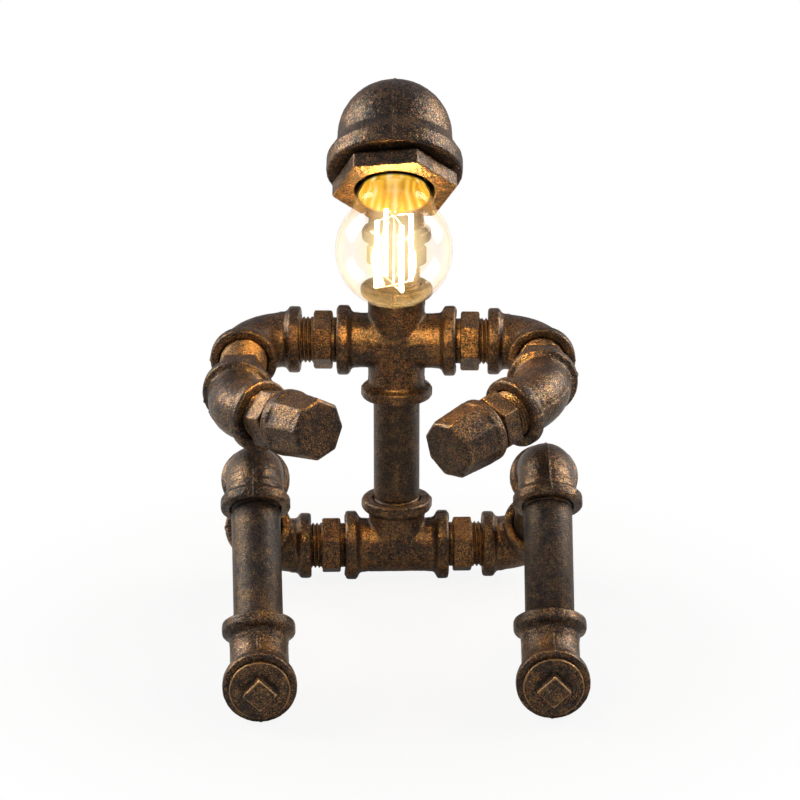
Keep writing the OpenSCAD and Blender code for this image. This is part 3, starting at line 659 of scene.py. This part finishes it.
class Paint:
    """The nodes of a material or of the world, while they are laid out."""

    def __init__(self, owner):
        owner.use_nodes = True
        self.owner, self.tree = owner, owner.node_tree
        self.tree.nodes.clear()

    def node(self, kind, inputs, output=0, **settings):
        """Adds a node; an input is a Mask, a number or a colour."""
        node = self.tree.nodes.new(kind)
        for key, value in settings.items():
            setattr(node, key, value)
        for key, value in inputs.items():
            if isinstance(value, Mask):
                self.tree.links.new(value.socket, node.inputs[key])
            else:
                node.inputs[key].default_value = value
        return Mask(self, node.outputs[output])

    def place(self):
        """Where a point lies, in metres and in Object coordinates."""
        return self.node("ShaderNodeTexCoord", {}, "Object")

    def grain(self, size, detail=2, roughness=0.5, seed=0):
        """Noise from 0 to 1 whose spots are about size millimetres wide."""
        millimetres = self.node("ShaderNodeVectorMath", {0: self.place(), "Scale": 1000},
                                operation="SCALE")
        shift = (seed * 17.0, seed * 5.0, seed * 11.0)
        spot = self.node("ShaderNodeVectorMath", {0: millimetres, 1: shift}, operation="ADD")
        return self.node("ShaderNodeTexNoise", {"Vector": spot, "Scale": 1 / size,
                                                "Detail": detail, "Roughness": roughness}, "Fac")

    def mix(self, factor, a, b):
        """Colour a where factor is 0 and b where it is 1."""
        a, b = (c if isinstance(c, Mask) else (*c, 1) for c in (a, b))
        return self.node("ShaderNodeMix", {0: factor, 6: a, 7: b}, 2, data_type="RGBA")

    def blend(self, factor, a, b):
        """Shader a where factor is 0 and b where it is 1."""
        return self.node("ShaderNodeMixShader", {0: factor, 1: a, 2: b}, "Shader")

    def mask(self, name):
        return self.node("ShaderNodeAttribute", {}, "Fac", attribute_name=name)

    def bump(self, height, distance, strength=1):
        return self.node("ShaderNodeBump", {"Height": height, "Distance": distance,
                                            "Strength": strength})

    def surface(self, color, roughness, metallic, **more):
        return self.node("ShaderNodeBsdfPrincipled", {
            "Base Color": color, "Roughness": roughness, "Metallic": metallic, **more}, "BSDF")

    def glow(self, color, strength):
        return self.node("ShaderNodeEmission", {"Color": (*color, 1), "Strength": strength},
                         "Emission")

    def out(self, shader, kind="ShaderNodeOutputMaterial"):
        """Ends the nodes with a shader and gives back what they belong to."""
        end = self.tree.nodes.new(kind)
        self.tree.links.new(shader.socket, end.inputs["Surface"])
        return self.owner


def material_paint(name):
    return Paint(bpy.data.materials.new(name))


# %% [markdown]
# ## Bronzed iron
# The coat is nearly black in the shade. Lit, it shows countless grains of copper and
# gold where the dry brush caught the pebbles, an olive sheen between them, and bare
# gold lines where hands and wrenches rub the edges. So the recipe starts with a dark
# coat, adds dark spots and then grains by noise at several sizes, adds the edges from
# the wear mask, and ends with painted shade in the hollows and in the socket mouths.
# The coat is partly metallic, because the grains of a diffuse coat look like rust.


# %% Bronzed finishes
COAT = (0.040, 0.033, 0.030)
WARM_COAT = (0.058, 0.044, 0.033)
OLIVE = (0.090, 0.076, 0.040)
DARK_SPOT = (0.014, 0.010, 0.011)
COPPER = (0.29, 0.115, 0.052)
GOLD = (0.46, 0.30, 0.11)
RUBBED = (0.50, 0.28, 0.11)
# Painted shade, laid into the hollows and the mouths of the sockets.
PAINTED_SHADE = (0.010, 0.008, 0.008)


def bronzed(name, grain_size, grains, pebble, rub):
    """grain_size is in millimetres; grains says how many of them show, pebble how
    coarse the skin is, and rub how bare the worn edges are."""
    paint = material_paint(name)
    wear = paint.mask("wear")
    hollow = paint.mask("hollow")
    broad = paint.grain(16, 2, 0.5, 1)
    patch = paint.grain(4, 3, 0.6, 2)
    fine = paint.grain(grain_size, 2, 0.7, 3)
    finest = paint.grain(grain_size * 0.7, 2, 0.7, 4)
    coarse = paint.grain(grain_size * 3, 2, 0.5, 6)
    thin = (patch - 0.5) * 0.2 + (broad - 0.5) * 0.2 + (grains - 0.5) * 0.2
    dark = (coarse - fine * 0.5).between(0.28, 0.4)
    copper = (fine + thin).between(0.55, 0.63)
    gold = (finest + thin).between(0.60, 0.67)
    rubbed = (wear * (0.3 + fine * 1.2)).between(0.35, 0.8) * rub
    color = paint.mix(broad.between(0.35, 0.7), COAT, WARM_COAT)
    color = paint.mix(patch.between(0.45, 0.75) * 0.7, color, OLIVE)
    color = paint.mix(dark * 0.7, color, DARK_SPOT)
    color = paint.mix(copper * 0.8, color, COPPER)
    color = paint.mix(gold * 0.8, color, GOLD)
    color = paint.mix(rubbed, color, RUBBED)
    # Painted shade darkens the hollows and the socket mouths.
    color = paint.mix(hollow * 0.8, color, PAINTED_SHADE)
    rough = 0.31 + (fine - 0.5) * 0.35 + dark * 0.1 + hollow * 0.25
    height = fine * 0.5 + finest * 0.35 + coarse * pebble
    return paint.out(paint.surface(color, rough, 0.7 + gold.most(rubbed) * 0.2,
                                   Normal=paint.bump(height, 0.38 * MM)))


cast_bronze = bronzed("bronzed_casting", 0.8, 0.55, 0.7, 0.85)
nipple_bronze = bronzed("bronzed_nipple", 0.75, 0.75, 0.3, 0.9)
pipe_bronze = bronzed("bronzed_pipe", 0.6, 0.35, 0.15, 0.5)
for group, finish in ((castings, cast_bronze), (nipples, nipple_bronze), (pipes, pipe_bronze)):
    for piece in group:
        piece.data.materials.clear()
        piece.data.materials.append(finish)
print("bronzed pieces:", len(castings) + len(nipples) + len(pipes))

# %% [markdown]
# ## Glass and light
# Thin clear glass bends light so little that the eye only sees its reflections and a
# darker rim. A mix of clear and glossy, by how steeply the glass is looked at, shows
# both, and it lets the light of the filaments out. Three effects of the light are
# painted on it, since a render this plain doesn't make them: a warm haze in the
# middle, gold streaks on the lit inside of the neck, and the dark collar round it.


# %% Bulb finishes
# Colours of painted glow: the warm haze, and the gold light on the inside of the neck.
HAZE = (1.0, 0.78, 0.42)
DEEP_GOLD = (0.60, 0.30, 0.008)
LIT_GOLD = (0.95, 0.58, 0.05)
PALE_GOLD = (1.0, 0.86, 0.42)


def clear_glass(name):
    paint = material_paint(name)
    facing = paint.node("ShaderNodeLayerWeight", {"Blend": 0.3}, "Facing")
    film = paint.grain(9, 2, 0.5, 5)
    clear = paint.node("ShaderNodeBsdfTransparent", {"Color": (0.972, 0.968, 0.964, 1)}, "BSDF")
    shine = paint.surface(paint.mix(film, (0.80, 0.76, 0.70), (0.88, 0.85, 0.80)),
                          film * 0.05 + 0.03, 0.9, Normal=paint.bump(film, 0.05 * MM, 0.2))
    glass = paint.blend(facing ** 3 * 0.6 + 0.03 + film * 0.01, clear, shine)
    # Painted glow: a warm haze in the middle of the globe.
    glass = paint.blend((1 - facing).between(0.82, 1.0) * 0.24, glass, paint.glow(HAZE, 1.35))
    # Painted glow: the inside of the neck, lit gold by the filaments, in streaks.
    streak = paint.mask("streak")
    gold = paint.mix(streak.between(0.1, 0.6), DEEP_GOLD, LIT_GOLD)
    gold = paint.mix(streak.between(0.6, 1.0), gold, PALE_GOLD)
    lit = paint.surface(paint.mix(film, (0.06, 0.03, 0.005), (0.10, 0.05, 0.01)),
                        film * 0.05 + 0.1, 0.0,
                        **{"Emission Color": gold, "Emission Strength": 0.92})
    glass = paint.blend(paint.mask("lit_neck") * 0.9, glass, lit)
    # Painted shade: the dark collar round the neck.
    dark = paint.surface(paint.mix(film, (0.010, 0.008, 0.006), (0.020, 0.014, 0.010)),
                         film * 0.1 + 0.6, 0.0)
    return paint.out(paint.blend(paint.mask("collar"), glass, dark))


def lit_filament(name):
    paint = material_paint(name)
    grains = paint.grain(0.5, 2, 0.5, 8)
    light = paint.mix(grains, (1.0, 0.58, 0.15), (1.0, 0.68, 0.22))
    return paint.out(paint.surface(
        paint.mix(grains, (1.0, 0.8, 0.4), (1.0, 0.9, 0.55)), 0.5 + grains * 0.1, 0.0,
        Normal=paint.bump(grains, 0.1 * MM, 0.3),
        **{"Emission Color": light, "Emission Strength": 400.0}))


# %% Plain finishes
def plain_finish(name, low, high, size, rough, metallic):
    """Two near colours in spots of size millimetres."""
    paint = material_paint(name)
    spots = paint.grain(size, 3, 0.6, 9)
    return paint.out(paint.surface(
        paint.mix(spots.between(0.3, 0.7), low, high), rough + (spots - 0.5) * 0.2, metallic,
        Normal=paint.bump(spots, 0.05 * MM, 0.4)))


BLACK, SOFT_BLACK = (0.015, 0.015, 0.015), (0.03, 0.028, 0.026)
finishes = {
    "cap_brass": plain_finish("cap_brass", (0.70, 0.50, 0.14), (0.85, 0.66, 0.24), 3, 0.4, 0.7),
    "holder": plain_finish("holder_black", BLACK, SOFT_BLACK, 2, 0.45, 0.0),
    "lead": plain_finish("lead_black", (0.012, 0.012, 0.012), (0.025, 0.025, 0.025), 2, 0.6, 0.0),
    "bush": plain_finish("bush_black", BLACK, (0.03, 0.03, 0.03), 1.5, 0.5, 0.0),
    "wire": plain_finish("plain_wire", (0.55, 0.52, 0.48), (0.75, 0.72, 0.68), 1, 0.3, 1.0),
    "filament": lit_filament("lit_filament"),
    "clear_glass": clear_glass("clear_glass"),
}
globe.data.materials.clear()
globe.data.materials.append(finishes["clear_glass"])
for node, piece in frame["nodes"].items():
    if piece.hide_render:
        continue
    finish = finishes.get(SLOTS[node], cast_bronze)
    if not piece.data.materials:
        piece.data.materials.append(finish)
    for slot in piece.material_slots:
        slot.material = finish
    print("CAD node kept:", node)

# %% [markdown]
# ## Floor and light
# Dark metal is shown by what it mirrors, so the studio has two tall soft panels, one
# at each side, whose reflections run down both flanks of every pipe. The floor and
# the room look white to the camera and through glass. In metal they show at 12% of
# that white, which keeps the dark coat dark. Under the lamp a tenth of the floor is
# left as a plain surface, which keeps the lamp's shadow, and it fades out further away.

# %% Floor
MIRRORED = 0.12
SHADOW_EDGE = (0.08, 0.24)
SHADOW_SHARE = 0.1


def seen(paint):
    """1 to the camera and through glass, MIRRORED in metal, and 0 to the light."""
    camera, glass, metal = (paint.node("ShaderNodeLightPath", {}, f"Is {kind} Ray")
                            for kind in ("Camera", "Transmission", "Glossy"))
    return camera.most(glass).most(metal * MIRRORED)


floor_shape = bmesh.new()
bmesh.ops.create_grid(floor_shape, x_segments=8, y_segments=8, size=6)
floor = bpy.data.objects.new("floor", to_mesh(floor_shape, "floor"))
bpy.context.scene.collection.objects.link(floor)
paint = material_paint("pale_floor")
distance = paint.node("ShaderNodeVectorMath", {0: paint.place()}, "Value", operation="LENGTH")
whiteness = distance.between(*SHADOW_EDGE) * SHADOW_SHARE + (1 - SHADOW_SHARE)
pale = paint.node("ShaderNodeBsdfDiffuse", {"Color": (0.5, 0.5, 0.5, 1)}, "BSDF")
white = paint.glow((1, 1, 1), 1.0)
floor.data.materials.append(paint.out(paint.blend(seen(paint) * whiteness, pale, white)))

# %% World
world = bpy.data.worlds.new("studio")
bpy.context.scene.world = world
paint = Paint(world)
room = paint.node("ShaderNodeBackground", {"Color": (0.98, 0.94, 1.0, 1), "Strength": 0.22})
plain = paint.node("ShaderNodeBackground", {"Color": (1, 1, 1, 1), "Strength": 1.0})
paint.out(paint.blend(seen(paint), room, plain), "ShaderNodeOutputWorld")


# %% Panels
def panel(name, place, target, size, power, color=(1, 1, 1)):
    light = bpy.data.lights.new(name, "AREA")
    light.shape = "RECTANGLE"
    light.size, light.size_y = size
    light.energy = power
    light.color = color
    lamp = bpy.data.objects.new(name, light)
    lamp.location = place
    lamp.rotation_euler = (Vector(target) - Vector(place)).to_track_quat("-Z", "Y").to_euler()
    bpy.context.scene.collection.objects.link(lamp)


MIDDLE = (0, 0, 0.13)
WARM_WHITE = (1.0, 0.95, 0.86)
panel("left_panel", (-1.06, 0.42, 0.72), MIDDLE, (0.75, 0.75), 16, WARM_WHITE)
panel("right_panel", (1.06, 0.42, 0.68), MIDDLE, (0.70, 0.80), 15.5, WARM_WHITE)
panel("front_fill", (-0.2, -1.1, 1.3), MIDDLE, (0.8, 0.5), 2)
